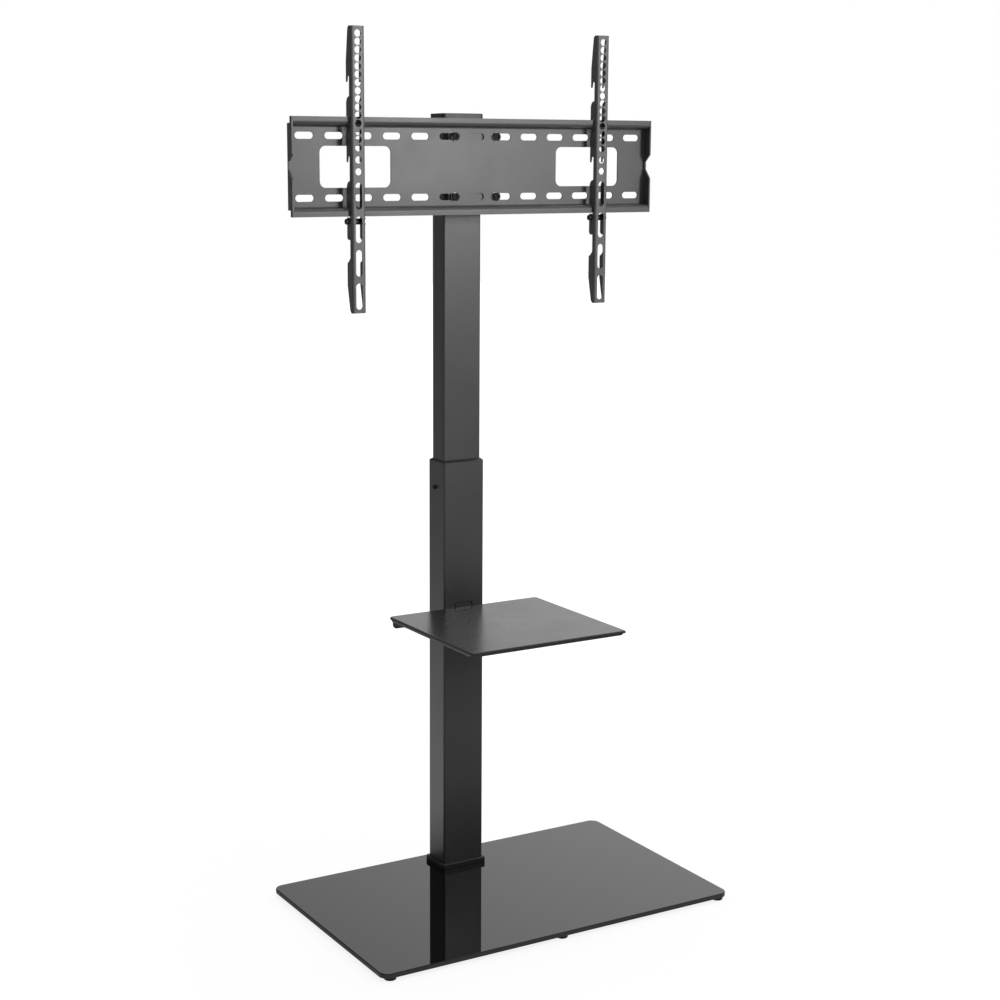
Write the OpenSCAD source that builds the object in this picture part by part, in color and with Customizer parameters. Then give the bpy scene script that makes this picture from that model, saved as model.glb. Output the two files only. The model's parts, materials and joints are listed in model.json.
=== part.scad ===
// Television stand: glass base, two-stage steel column, shelf, slotted plate and two hooked arms.
// Millimetres. X to the right, Y to the back, Z up. The origin is on the floor, under the
// middle of the glass base.

/* [Base] */
// Width of the glass base
base_w = 650; // [500:10:900]
// Depth of the glass base, front to back
base_d = 396; // [320:4:600]
// Thickness of the glass
glass_t = 8; // [6:1:12]
// Radius of the glass corners
glass_corner_r = 16; // [5:1:60]
// Height of the bumper feet
foot_h = 4.5; // [4:0.5:12]
// Diameter of the bumper feet
foot_dia = 19; // [12:1:30]
// Foot centre, inwards from the side of the glass
foot_side_inset = 17; // [10:1:60]
// Foot centre, inwards from the front and back of the glass
foot_end_inset = 10.5; // [10:0.5:40]
// Thickness of the steel plate under the glass
under_plate_t = 3; // [2:0.25:3.25]
// How far the steel plate reaches past the column at the sides
under_plate_side = 18; // [12:1:40]
// How far the steel plate reaches past the column towards the front
under_plate_front = 34; // [10:1:60]
// How far the steel plate reaches past the column towards the back
under_plate_back = 2; // [0.5:0.5:3.5]
// Thickness of the rubber pads on both faces of the glass
pad_t = 0.5; // [0.3:0.1:0.9]
// Column axis, inwards from the back of the glass
column_inset = 50; // [45:1:90]

/* [Column] */
// Width of the upper tube
upper_w = 70; // [60:1:90]
// Depth of the upper tube
upper_d = 38; // [30:1:60]
// Length of the upper tube
upper_len = 790.5; // [600:10:1200]
// Outside corner radius of both tubes
tube_corner_r = 3; // [2.75:0.25:8]
// Wall of both tubes
tube_wall = 2; // [1.5:0.25:2.5]
// Gap between the tubes at the sides
side_gap = 1; // [0.6:0.1:3]
// Gap between the tubes at the front and back
front_gap = 5; // [5:0.5:12]
// Length of the lower tube
lower_len = 704; // [500:4:900]
// Length of upper tube inside the lower one, as shown
insertion = 228.5; // [100:0.5:320]
// Height of the foot collar
collar_h = 10; // [6:1:20]
// How far the foot collar stands out from the lower tube
collar_reach = 4.5; // [2.5:0.5:10]
// Radius of the foot collar's corners in plan
collar_corner_r = 4; // [2.5:0.5:8]
// Height of the guide bush above the lower tube
bush_h = 4; // [3:0.5:12]
// Depth of the guide bush inside the lower tube
bush_skirt = 40; // [20:1:60]
// Height of the slide block under the upper tube
slide_block_h = 25; // [15:1:50]
// Thickness of the top cap
cap_t = 4; // [2.5:0.5:8]
// How far the top cap stands out from the upper tube
cap_reach = 3.3; // [1.5:0.1:5]
// How far the top cap's skirt reaches down over the upper tube
cap_skirt = 9; // [4:1:14]
// Lock screw, down from the top of the lower tube
lock_drop = 43; // [30:1:120]

/* [Shelf] */
// Width of the shelf
shelf_w = 287; // [200:1:500]
// Depth of the shelf
shelf_d = 270; // [180:2:320]
// Height of the shelf top above the floor
shelf_z = 472; // [300:1:600]
// Sheet thickness of the shelf
shelf_t = 2; // [1.5:0.25:2.5]
// Height of the front and side edges
shelf_edge_h = 6.5; // [5:0.5:16]
// Height of the lip that runs round the shelf under its sheet
shelf_lip_h = 2; // [1:0.5:3]
// Height of the rear flange against the column
shelf_back_h = 22; // [20:1:40]
// Radius of the shelf's back corners in plan
shelf_corner_r = 8; // [7:0.5:30]
// Radius of the shelf's front corners in plan
shelf_front_r = 5; // [3:0.5:12]
// Width of the rear hook
hook_w = 31; // [20:1:38]
// Height of the slot that takes the hook
hook_slot_h = 10.5; // [8:0.5:14]

/* [Mounting plate] */
// Width of the plate
plate_w = 660; // [560:10:900]
// Height of the plate
plate_h = 150; // [136:1:180]
// Sheet thickness of the plate
plate_t = 2.5; // [2:0.25:3]
// Depth of the tray, front of the lips to the back
tray_d = 20; // [18:0.5:24]
// Height of each lip past the web
lip_h = 10; // [9.5:0.5:15]
// Middle of the plate, down from the top of the upper tube
plate_drop = 80.2; // [79:1:160]
// Spacing of the slots
slot_pitch = 50.2; // [48:0.2:52]
// Number of slots in a row
slot_count = 13; // [7:2:13]
// Length of a slot
slot_len = 31.5; // [31:0.5:38]
// Height of a slot
slot_h = 10.5; // [8:0.5:12]
// Slot rows, up and down from the middle
row_offset = 47; // [46.4:0.2:50]
// Width of each window
window_w = 123; // [60:1:140]
// Height of each window
window_h = 63; // [30:1:70]
// Window centres, sideways from the middle
window_x = 214; // [150:1:240]
// Radius of the window corners
window_corner_r = 10; // [4:1:20]

/* [Bracket] */
// Sheet thickness of the bracket behind the plate
bracket_t = 3; // [2:0.5:5]
// Width of the bracket's front
bracket_w = 94; // [90:1:104]
// Height of the bracket's front
bracket_h = 130; // [122:1:134]
// Height of the bracket's legs
leg_h = 80; // [68:1:81]
// Bracket front to the front of the upper tube
bracket_reach = 35.4; // [20:0.2:80]
// Cross bolts, up and down from the middle of the plate
cross_offset = 25; // [16:1:26]
// Plate bolts, inwards from the middle of their slots
bolt_inset = 12.2; // [9:0.2:12.4]

/* [Arms] */
// Length of an arm
arm_len = 432; // [400:4:560]
// Width of an arm
arm_w = 24; // [20:1:30]
// Sheet thickness of an arm
arm_t = 2; // [1.5:0.25:2.5]
// Depth of an arm where it passes the lips
arm_shallow = 7; // [6:0.2:10]
// Arm centres, inwards from the ends of the plate
arm_inset = 106; // [30:1:200]
// Both arms as shown, to the right of their even places
arm_shift = 2.3; // [-10:0.1:10]
// First hook, down from the top of the arm
hook_start = 73.9; // [60:0.1:80]
// Spacing of the hooks
hook_pitch = 59.9; // [54:0.1:64]
// Length of a hook's tip
tip_len = 8.5; // [6:0.5:10]
// Diameter of the round holes
arm_hole_dia = 11; // [6:0.5:11]
// Spacing of the upper row of holes
arm_hole_pitch = 12.1; // [11.5:0.1:14]
// Length of the lower slots
arm_slot_len = 40.5; // [20:0.5:44]
// Spacing of the lower slots
arm_slot_pitch = 51; // [46:1:60]

/* [Fasteners] */
// Radius of the small screws' thread
screw_r = 3; // [2.5:0.25:3.25]
// Radius of the cross bolts' thread
cross_r = 4; // [3:0.5:5]
// Radius of the shelf bolts' thread
shelf_bolt_r = 2.5; // [2:0.25:3]

/* [Hidden] */
$fn = 64;
// Overrun of every cut
over = 1;
// Gap between pieces that move past each other
slide_gap = 0.3;
// Gap between pieces that are pushed or welded together
push_gap = 0.1;
// Gap between a turning screw and its hole, on the radius
thread_gap = 0.05;
// Gap between a bolt and the hole it passes, on the radius
bolt_gap = 0.25;

// Heights of the base
under_pad_z = foot_h - pad_t;
under_plate_z = under_pad_z - under_plate_t;
glass_top = foot_h + glass_t;
foot_pad_z = glass_top + pad_t;

// Column
column_y = base_d / 2 - column_inset;
lower_w = upper_w + 2 * (side_gap + tube_wall);
lower_d = upper_d + 2 * (front_gap + tube_wall);
lower_in_w = lower_w - 2 * tube_wall;
lower_in_d = lower_d - 2 * tube_wall;
lower_front = column_y - lower_d / 2;
lower_top = foot_pad_z + lower_len;
upper_front = column_y - upper_d / 2;
upper_z = lower_top - insertion;
upper_top = upper_z + upper_len;
tube_in_r = tube_corner_r - tube_wall;

// Screws through the glass
base_screw_x = 22;
base_screw_y = 12;
base_head_r = screw_r + 2.5;
sleeve_wall = 1.7;
glass_hole_r = screw_r + push_gap + sleeve_wall + push_gap;
foot_plate_t = 6;
foot_bevel = 1;
collar_bevel = 1.5;

// Guide bush, slide block and cap
bush_band = 1;
bush_slope_share = 0.75;
skirt_w = lower_in_w - 4 * tube_corner_r;
block_plug_h = 20;
groove_w = 48;
groove_d = front_gap + 0.5;
plug_h = 12;
cap_bevel = 1;

// Lock screws
head_r = 4.5;
head_t = 4.7;
head_bevel = 0.8;
lock_head_r = 3.5;
lock_head_t = 3.4;
key_r = 2.1;
key_depth_share = 0.6;
lock_z = lower_top - lock_drop;
lock_y = column_y + 4;

// Shelf
shelf_front = lower_front - shelf_d;
edge_cut = shelf_edge_h - shelf_t;
edge_slant = 6;
back_inset = shelf_corner_r;
hook_gap = 0.8;
back_round = 7;
hook_rise = 14;
hook_slot_w = hook_w + 3;
hook_slot_z = shelf_z - shelf_t - slide_gap;
shelf_bolt_x = 16;
shelf_bolt_drop = 12;
shelf_bolt_z = shelf_z - shelf_bolt_drop;
shelf_bolt_len = 9.4;
shelf_head_t = 2.5;
shelf_washer_t = 1;
shelf_nut_t = 4;
shelf_nut_af = 3.2 * shelf_bolt_r;

// Mounting plate, across its depth and height
plate_z = upper_top - plate_drop;
bracket_back = upper_front - bracket_reach;
plate_back = bracket_back - bracket_t;
lip_front = plate_back - tray_d;
face_front = plate_back - plate_t;
web_half = plate_h / 2 - lip_h;
bend_in_r = 3.5;
end_bend_r = 5;
lip_return = 7;
end_notch_h = 39;
end_notch_flat = 12.5;
end_notch_low = 15;
end_notch_d = 12.6;
row_half = (slot_count - 1) / 2;

// Plate bolts
bolt_x = slot_pitch - bolt_inset;
bolt_head_r = 5.25;
bolt_head_h = 3.3;
washer_r = 7;
washer_t = 1.6;
hex_af = 10;
nut_h = 5;
cross_head_r = 6.5;
cross_head_h = 5.3;
cross_hex_af = 13;
cross_nut_h = 6.5;
leg_gap = push_gap;
leg_out = upper_w / 2 + leg_gap + bracket_t;
leg_past_axis = 12;
leg_back = column_y + leg_past_axis;

// Arm, s down from its top and d back from its front
hang_gap = 0.3;
hook_play = 0.4;
arm_back_gap = 7.9;
arm_d = arm_shallow + hook_play + tray_d - plate_t - arm_back_gap;
arm_front = lip_front - hook_play - arm_shallow;
root_gap = 6;
tip_t = 2;
relief_shares = [0.286, 0.05, 0.40];
hanging_hook = 1;
resume_r = arm_d - arm_shallow;
top_round = 3;
top_depth = 8;
top_taper = 49;
web_gap = 1.1;
lip_gap = 1.4;
lug_h = 29.5;
lug_edge = 4.6;
lug_screw_s = 6.3;
tail_shares = [0.01, 0.04, 0.274, 0.317, 0.345, 0.649];
tail_step_r = 3.5;
tail_rise_share = 0.45;
tail_depth = 9;
tail_round = 4;
left_arm_x = arm_inset - plate_w / 2 + arm_shift;
right_arm_x = plate_w / 2 - arm_inset + arm_shift;
hang_s = hook_start + hanging_hook * hook_pitch;
arm_top = plate_z + plate_h / 2 + hang_gap + hang_s;
notch_low = hang_s + hang_gap + plate_h + lip_gap;
notch_high = hang_s + hang_gap + plate_h - lip_h - plate_t - web_gap;
lug_end = notch_low + lug_h;
tail_len = arm_len - lug_end;
arm_screw_s = notch_low + lug_screw_s;
arm_screw_z = arm_top - arm_screw_s;
arm_screw_y = arm_front + arm_d - lug_edge;
arm_bend_r = 2;
arm_hole_start = 11;
arm_hole_count = 15;
extra_hole_start = 198.7;
extra_hole_pitch = 17.8;
extra_hole_count = 2;
arm_slot_start = 253;
arm_slot_end = 5.5;
sleeve_r = 4.75;
screw_past_nut = 1.3;

// Rounded rectangle centred on the origin
module rounded_rect(w, d, r) {
    square([w - 2 * r, d], center = true);
    square([w, d - 2 * r], center = true);
    for (sx = [-1, 1], sy = [-1, 1])
        translate([sx * (w / 2 - r), sy * (d / 2 - r)]) circle(r);
}

// Rectangular tube section with rounded corners
module tube_section(w, d) {
    difference() {
        rounded_rect(w, d, tube_corner_r);
        rounded_rect(w - 2 * tube_wall, d - 2 * tube_wall, tube_in_r);
    }
}

// Slot outline with round ends, along the first axis
module slot_outline(len, wide) {
    square([len - wide, wide], center = true);
    for (s = [-1, 1]) translate([s * (len - wide) / 2, 0]) circle(wide / 2);
}

// Quarter of a ring from the first axis to the second
module quarter_ring(r_in, t) {
    intersection() {
        difference() {
            circle(r_in + t);
            circle(r_in);
        }
        square(r_in + t);
    }
}

// Flat ring, standing on its face
module ring(r_out, r_in, h) {
    difference() {
        cylinder(r = r_out, h = h);
        translate([0, 0, -over]) cylinder(r = r_in, h = h + 2 * over);
    }
}

// Hexagonal prism of a given width across its flats
module hex_prism(af, h) {
    cylinder(r = af / 2 / cos(30), h = h, $fn = 6);
}

module hex_nut(af, bore_r, h) {
    difference() {
        hex_prism(af, h);
        translate([0, 0, -over]) cylinder(r = bore_r, h = h + 2 * over);
    }
}

// Bolt along +Z: its head ends at zero, its shank goes on to len
module socket_bolt(r, hr, hh, len) {
    difference() {
        union() {
            translate([0, 0, -hh]) cylinder(r = hr, h = hh);
            translate([0, 0, -hh / 2]) cylinder(r = r, h = len + hh / 2);
        }
        translate([0, 0, -hh - over]) hex_prism(hr, hh * key_depth_share + over);
    }
}

// Lock screw along +Z with a bevelled head, its hex key hole on the outside
module lock_screw(hr, ht, len) {
    difference() {
        union() {
            translate([0, 0, -ht]) cylinder(r1 = hr - head_bevel, r2 = hr, h = head_bevel);
            translate([0, 0, head_bevel - ht]) cylinder(r = hr, h = ht - head_bevel);
            translate([0, 0, -ht / 2]) cylinder(r = screw_r, h = len + ht / 2);
        }
        translate([0, 0, -ht - over]) hex_prism(key_r * 2, ht * key_depth_share + over);
    }
}

// Puts its children on the column's axis at a height
module on_column(z) {
    translate([0, column_y, z]) children();
}

// Turns a piece made along +Z to point along +Y
module to_back() {
    rotate([-90, 0, 0]) children();
}

// Turns a piece made along +Z to point along +X
module to_right() {
    rotate([0, 90, 0]) children();
}

module at_base_screws() {
    for (sx = [-1, 1], sy = [-1, 1])
        translate([sx * base_screw_x, column_y + sy * base_screw_y, 0]) children();
}

module at_plate_bolts(y) {
    for (sx = [-1, 1], sz = [-1, 1])
        translate([sx * bolt_x, y, plate_z + sz * row_offset]) to_back() children();
}

module at_cross_bolts(x) {
    for (sz = [-1, 1]) translate([x, column_y, plate_z + sz * cross_offset]) children();
}

module at_shelf_bolts(y) {
    for (sx = [-1, 1]) translate([sx * shelf_bolt_x, y, shelf_bolt_z]) to_back() children();
}

module base_glass() {
    color("#1b1c1e") difference() {
        translate([0, 0, foot_h]) linear_extrude(glass_t)
            rounded_rect(base_w, base_d, glass_corner_r);
        at_base_screws() cylinder(r = glass_hole_r, h = glass_top + over);
    }
}

module base_feet() {
    color("#141414")
        for (sx = [-1, 0, 1], sy = [-1, 1])
            translate([sx * (base_w / 2 - foot_side_inset), sy * (base_d / 2 - foot_end_inset), 0]) {
                cylinder(r1 = foot_dia / 2 - foot_bevel, r2 = foot_dia / 2, h = foot_bevel);
                translate([0, 0, foot_bevel]) cylinder(r = foot_dia / 2, h = foot_h - foot_bevel);
            }
}

module under_plate_outline() {
    translate([0, (under_plate_back - under_plate_front) / 2])
        rounded_rect(lower_w + 2 * under_plate_side, lower_d + under_plate_back + under_plate_front,
            tube_corner_r);
}

module under_plate() {
    color("#2c2d2f") difference() {
        on_column(under_plate_z) linear_extrude(under_plate_t) under_plate_outline();
        at_base_screws() {
            cylinder(r = screw_r + bolt_gap, h = glass_top);
            translate([0, 0, under_plate_z - over]) cylinder(r = base_head_r + over, h = over);
            translate([0, 0, under_plate_z])
                cylinder(r1 = base_head_r + push_gap, r2 = screw_r + push_gap, h = base_head_r - screw_r);
        }
    }
}

module under_gasket() {
    color("#101010") difference() {
        on_column(under_pad_z) linear_extrude(pad_t) under_plate_outline();
        at_base_screws() cylinder(r = screw_r + bolt_gap, h = glass_top);
    }
}

module foot_gasket() {
    color("#101010") difference() {
        on_column(glass_top) linear_extrude(pad_t) rounded_rect(lower_w, lower_d, tube_corner_r);
        at_base_screws() cylinder(r = screw_r + bolt_gap, h = foot_pad_z + over);
    }
}

module base_screws() {
    color("#a9abad") at_base_screws() difference() {
        union() {
            translate([0, 0, under_plate_z])
                cylinder(r1 = base_head_r, r2 = screw_r, h = base_head_r - screw_r);
            translate([0, 0, under_plate_z])
                cylinder(r = screw_r, h = foot_pad_z + foot_plate_t - under_plate_z);
        }
        translate([0, 0, under_plate_z - over]) hex_prism(2 * key_r, base_head_r - screw_r + over);
    }
}

module glass_sleeves() {
    color("#e8e8e6") at_base_screws()
        translate([0, 0, foot_h]) ring(glass_hole_r - push_gap, screw_r + push_gap, glass_t);
}

module foot_plate() {
    color("#2c2d2f") difference() {
        on_column(foot_pad_z) linear_extrude(foot_plate_t)
            rounded_rect(lower_in_w - 2 * push_gap, lower_in_d - 2 * push_gap, tube_in_r);
        at_base_screws() cylinder(r = screw_r + thread_gap, h = foot_pad_z + foot_plate_t + over);
    }
}

module base_collar() {
    w = lower_w + 2 * collar_reach;
    d = lower_d + 2 * collar_reach;
    color("#161616") on_column(glass_top) difference() {
        hull() {
            linear_extrude(collar_h - collar_bevel) rounded_rect(w, d, collar_corner_r);
            linear_extrude(collar_h) rounded_rect(w - 2 * collar_bevel, d - 2 * collar_bevel,
                collar_corner_r - collar_bevel);
        }
        translate([0, 0, -over]) linear_extrude(collar_h + 2 * over)
            rounded_rect(lower_w + 2 * push_gap, lower_d + 2 * push_gap, tube_corner_r + push_gap);
    }
}

module lower_tube() {
    color("#4b4c4e") difference() {
        on_column(foot_pad_z) linear_extrude(lower_len) tube_section(lower_w, lower_d);
        translate([0, lower_front - over, hook_slot_z + hook_slot_h / 2])
            to_back() linear_extrude(tube_wall + 2 * over) slot_outline(hook_slot_w, hook_slot_h);
        at_shelf_bolts(lower_front - over)
            cylinder(r = shelf_bolt_r + thread_gap, h = tube_wall + 2 * over);
        translate([-lower_w / 2 - over, lock_y, lock_z])
            to_right() cylinder(r = screw_r + thread_gap, h = tube_wall + 2 * over);
    }
}

module guide_bush() {
    w = upper_w + 2 * slide_gap;
    d = upper_d + 2 * slide_gap;
    skirt_t = (lower_in_d - d) / 2 - push_gap;
    color("#161616") on_column(lower_top) {
        difference() {
            hull() {
                linear_extrude(bush_band) rounded_rect(lower_w, lower_d, tube_corner_r);
                linear_extrude(bush_h) rounded_rect(lower_w - (lower_w - w) * bush_slope_share,
                    lower_d - (lower_d - d) * bush_slope_share, tube_corner_r);
            }
            translate([0, 0, -over]) linear_extrude(bush_h + 2 * over)
                rounded_rect(w, d, tube_corner_r);
        }
        for (sy = [-1, 1])
            translate([-skirt_w / 2, sy * (d + skirt_t) / 2 - skirt_t / 2, -bush_skirt])
                cube([skirt_w, skirt_t, bush_skirt]);
    }
}

module height_lock_screw() {
    color("#5d5f61") translate([-lower_w / 2 - slide_gap, lock_y, lock_z])
        to_right() lock_screw(lock_head_r, lock_head_t, tube_wall + side_gap);
}

// The shelf in plan, centred, with its smaller corners at the front
module shelf_outline() {
    rounded_rect(shelf_w, shelf_d, shelf_corner_r);
    translate([0, -shelf_d / 4]) rounded_rect(shelf_w, shelf_d / 2, shelf_front_r);
}

module shelf_panel() {
    front_w = shelf_w - 2 * shelf_front_r;
    side_d = shelf_d - shelf_front_r - shelf_corner_r;
    edge = [
        [0, 0], [front_w, 0], [front_w - edge_slant, -edge_cut], [edge_slant, -edge_cut]
    ];
    side = [
        [0, 0], [side_d, 0], [side_d - edge_slant, -edge_cut], [edge_slant, -edge_cut]
    ];
    back_w = shelf_w - 2 * back_inset;
    color("#6c6d6f") difference() {
        union() {
            translate([0, shelf_front + shelf_d / 2, shelf_z - shelf_t])
                linear_extrude(shelf_t) shelf_outline();
            translate([0, shelf_front + shelf_d / 2, shelf_z - shelf_t - shelf_lip_h])
                linear_extrude(shelf_lip_h + over) difference() {
                    shelf_outline();
                    rounded_rect(
                        shelf_w - 2 * shelf_t, shelf_d - 2 * shelf_t, shelf_corner_r - shelf_t
                    );
                }
            translate([-front_w / 2, shelf_front + shelf_t, shelf_z - shelf_t])
                rotate([90, 0, 0]) linear_extrude(shelf_t) polygon(edge);
            for (x = [-shelf_w / 2, shelf_w / 2 - shelf_t])
                translate([x, shelf_front + shelf_front_r, shelf_z - shelf_t])
                    rotate([90, 0, 90]) linear_extrude(shelf_t) polygon(side);
            translate([0, lower_front, shelf_z]) rotate([90, 0, 0]) linear_extrude(shelf_t) {
                translate([-back_w / 2, -shelf_back_h + back_round])
                    square([back_w, shelf_back_h - back_round]);
                translate([-back_w / 2 + back_round, -shelf_back_h])
                    square([back_w - 2 * back_round, shelf_back_h]);
                for (s = [-1, 1])
                    translate([s * (back_w / 2 - back_round), back_round - shelf_back_h])
                        circle(back_round);
            }
            translate([-hook_w / 2, lower_front - over, shelf_z - shelf_t])
                cube([hook_w, over + tube_wall + hook_gap + shelf_t, shelf_t]);
            translate([-hook_w / 2, lower_front + tube_wall + hook_gap, shelf_z - shelf_t])
                cube([hook_w, shelf_t, hook_rise]);
        }
        at_shelf_bolts(lower_front - shelf_t - over)
            cylinder(r = shelf_bolt_r + bolt_gap, h = shelf_t + over + push_gap);
    }
}

module shelf_bolts() {
    y = lower_front - shelf_t - shelf_washer_t;
    color("#a9abad") at_shelf_bolts(y)
        socket_bolt(shelf_bolt_r, 2 * shelf_bolt_r, shelf_head_t, shelf_bolt_len);
}

module shelf_washers() {
    color("#a9abad") at_shelf_bolts(lower_front - shelf_t - shelf_washer_t)
        ring(2 * shelf_bolt_r, shelf_bolt_r + bolt_gap, shelf_washer_t);
}

module shelf_nuts() {
    color("#a9abad") at_shelf_bolts(lower_front + tube_wall)
        hex_nut(shelf_nut_af, shelf_bolt_r + thread_gap, shelf_nut_t);
}

module upper_tube() {
    color("#4b4c4e") difference() {
        on_column(upper_z) linear_extrude(upper_len) tube_section(upper_w, upper_d);
        at_cross_bolts(-upper_w / 2 - over)
            to_right() cylinder(r = cross_r + bolt_gap, h = upper_w + 2 * over);
    }
}

module slide_block() {
    w = lower_in_w - 2 * slide_gap;
    d = lower_in_d - 2 * slide_gap;
    color("#161616") on_column(upper_z) {
        difference() {
            translate([0, 0, -slide_block_h]) linear_extrude(slide_block_h)
                rounded_rect(w, d, tube_in_r + slide_gap);
            translate([-groove_w / 2, -d / 2 - over, -slide_block_h - over])
                cube([groove_w, over + groove_d, slide_block_h + 2 * over]);
        }
        linear_extrude(block_plug_h)
            rounded_rect(upper_w - 2 * (tube_wall + push_gap), upper_d - 2 * (tube_wall + push_gap),
                tube_in_r);
    }
}

module top_cap() {
    w = upper_w + 2 * cap_reach;
    d = upper_d + 2 * cap_reach;
    r = tube_corner_r + cap_reach;
    color("#3c3d3f") on_column(upper_top) {
        hull() {
            linear_extrude(cap_t - cap_bevel) rounded_rect(w, d, r);
            linear_extrude(cap_t) rounded_rect(w - 2 * cap_bevel, d - 2 * cap_bevel, r - cap_bevel);
        }
        translate([0, 0, -cap_skirt]) linear_extrude(cap_skirt) difference() {
            rounded_rect(w, d, r);
            rounded_rect(upper_w + 2 * push_gap, upper_d + 2 * push_gap, tube_corner_r + push_gap);
        }
        translate([0, 0, -plug_h]) linear_extrude(plug_h)
            rounded_rect(upper_w - 2 * (tube_wall + push_gap), upper_d - 2 * (tube_wall + push_gap),
                tube_in_r);
    }
}

module head_bracket() {
    leg_in = upper_w / 2 + leg_gap;
    color("#2c2d2f") difference() {
        union() {
            translate([-bracket_w / 2, plate_back, plate_z - bracket_h / 2])
                cube([bracket_w, bracket_t, bracket_h]);
            for (x = [-leg_out, leg_in])
                translate([x, plate_back, plate_z - leg_h / 2])
                    cube([bracket_t, leg_back - plate_back, leg_h]);
        }
        at_plate_bolts(plate_back - over)
            cylinder(r = screw_r + bolt_gap, h = bracket_t + 2 * over);
        at_cross_bolts(-leg_out - over)
            to_right() cylinder(r = cross_r + bolt_gap, h = 2 * (leg_out + over));
    }
}

module cross_bolts() {
    len = 2 * (leg_out + washer_t) + cross_nut_h + screw_past_nut;
    color("#a9abad") at_cross_bolts(-leg_out - washer_t)
        to_right() socket_bolt(cross_r, cross_head_r, cross_head_h, len);
}

module cross_washers() {
    color("#a9abad") for (x = [-leg_out - washer_t, leg_out])
        at_cross_bolts(x) to_right() ring(2 * cross_r, cross_r + bolt_gap, washer_t);
}

module cross_nuts() {
    color("#a9abad") at_cross_bolts(leg_out + washer_t)
        to_right() hex_nut(cross_hex_af, cross_r + thread_gap, cross_nut_h);
}

// Half of the plate's section from the middle to the top lip, first axis to the back
module half_section() {
    face_x = tray_d - plate_t;
    translate([face_x, 0]) square([plate_t, web_half - bend_in_r - plate_t]);
    translate([face_x - bend_in_r, web_half - bend_in_r - plate_t]) quarter_ring(bend_in_r, plate_t);
    translate([plate_t + bend_in_r, web_half - plate_t])
        square([face_x - plate_t - 2 * bend_in_r, plate_t]);
    translate([plate_t + bend_in_r, web_half + bend_in_r])
        rotate(180) quarter_ring(bend_in_r, plate_t);
    translate([0, web_half + bend_in_r]) square([plate_t, lip_h - bend_in_r]);
}

// Flange at an end of the plate, seen from the side, first axis to the back
module end_outline() {
    low = end_notch_low - end_notch_h / 2;
    high = low + end_notch_flat;
    difference() {
        union() {
            translate([0, -plate_h / 2]) square([lip_return, plate_h]);
            translate([0, -web_half]) square([tray_d - end_bend_r, 2 * web_half]);
        }
        polygon([
            [-over, -end_notch_h / 2], [0, -end_notch_h / 2], [end_notch_d, low],
            [end_notch_d, high], [0, end_notch_h / 2], [-over, end_notch_h / 2]
        ]);
    }
}

// The plate in plan, its back corners rounded where the ends are bent forward
module plan_outline() {
    translate([-plate_w / 2, 0]) square([plate_w, tray_d - end_bend_r]);
    translate([end_bend_r - plate_w / 2, 0]) square([plate_w - 2 * end_bend_r, tray_d]);
    for (s = [-1, 1]) translate([s * (plate_w / 2 - end_bend_r), tray_d - end_bend_r])
        circle(end_bend_r);
}

module mount_plate() {
    color("#77787a") translate([0, lip_front, plate_z]) difference() {
        union() {
            intersection() {
                translate([-plate_w / 2, 0, 0]) rotate([90, 0, 90]) linear_extrude(plate_w) {
                    half_section();
                    mirror([0, 1]) half_section();
                }
                translate([0, 0, -plate_h / 2]) linear_extrude(plate_h) plan_outline();
            }
            for (x = [-plate_w / 2, plate_w / 2 - plate_t])
                translate([x, 0, 0]) rotate([90, 0, 90]) linear_extrude(plate_t) end_outline();
            for (s = [0, 1]) mirror([s, 0, 0])
                translate([plate_w / 2 - end_bend_r, tray_d - end_bend_r, plate_t - web_half])
                    linear_extrude(2 * (web_half - plate_t))
                        quarter_ring(end_bend_r - plate_t, plate_t);
        }
        translate([0, tray_d - plate_t - over, 0]) to_back()
            linear_extrude(plate_t + 2 * over) {
                for (k = [-row_half:row_half], s = [-1, 1])
                    translate([k * slot_pitch, s * row_offset]) slot_outline(slot_len, slot_h);
                for (s = [-1, 1]) translate([s * window_x, 0])
                    rounded_rect(window_w, window_h, window_corner_r);
            }
    }
}

module plate_bolts() {
    len = washer_t + plate_t + bracket_t + nut_h + screw_past_nut;
    color("#c4c6c8") at_plate_bolts(face_front - washer_t)
        socket_bolt(screw_r, bolt_head_r, bolt_head_h, len);
}

module plate_washers() {
    color("#c4c6c8") at_plate_bolts(face_front - washer_t)
        ring(washer_r, screw_r + bolt_gap, washer_t);
}

module plate_nuts() {
    color("#a9abad") at_plate_bolts(bracket_back) hex_nut(hex_af, screw_r + thread_gap, nut_h);
}

// Side view of an arm's flange: first axis down from the top, second axis back from the front
module arm_side() {
    relief = [for (k = [0:2]) lip_h + plate_t + hang_gap + relief_shares[k] * hook_pitch];
    root = [for (k = [0:2]) hook_start + k * hook_pitch];
    top = top_depth + top_round;
    tail = [for (share = tail_shares) lug_end + share * tail_len];
    difference() {
        polygon([
            [0, 0], [0, top_depth], [top_round, top], [top_round + top_taper, arm_d],
            [tail[0], arm_d], [tail[1], arm_d - tail_step_r], [tail[1], arm_shallow],
            [tail[2], arm_shallow], [tail[3], arm_shallow + tail_rise_share * resume_r],
            [tail[4], arm_d], [tail[5], arm_d], [arm_len - tail_round, tail_depth],
            [arm_len, tail_depth - tail_round], [arm_len, 0]
        ]);
        for (k = [0:2]) translate([root[k], arm_shallow]) {
            polygon([
                [0, 0], [0, root_gap], [tip_len, arm_d - arm_shallow - tip_t],
                [tip_len, arm_d - arm_shallow + over],
                [relief[k], arm_d - arm_shallow + over], [relief[k], 0]
            ]);
            difference() {
                translate([relief[k] - over, 0])
                    square([over + resume_r, resume_r + over]);
                translate([relief[k] + resume_r, 0]) circle(resume_r);
            }
        }
        translate([notch_high, arm_shallow]) square([notch_low - notch_high, arm_d]);
    }
}

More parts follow.
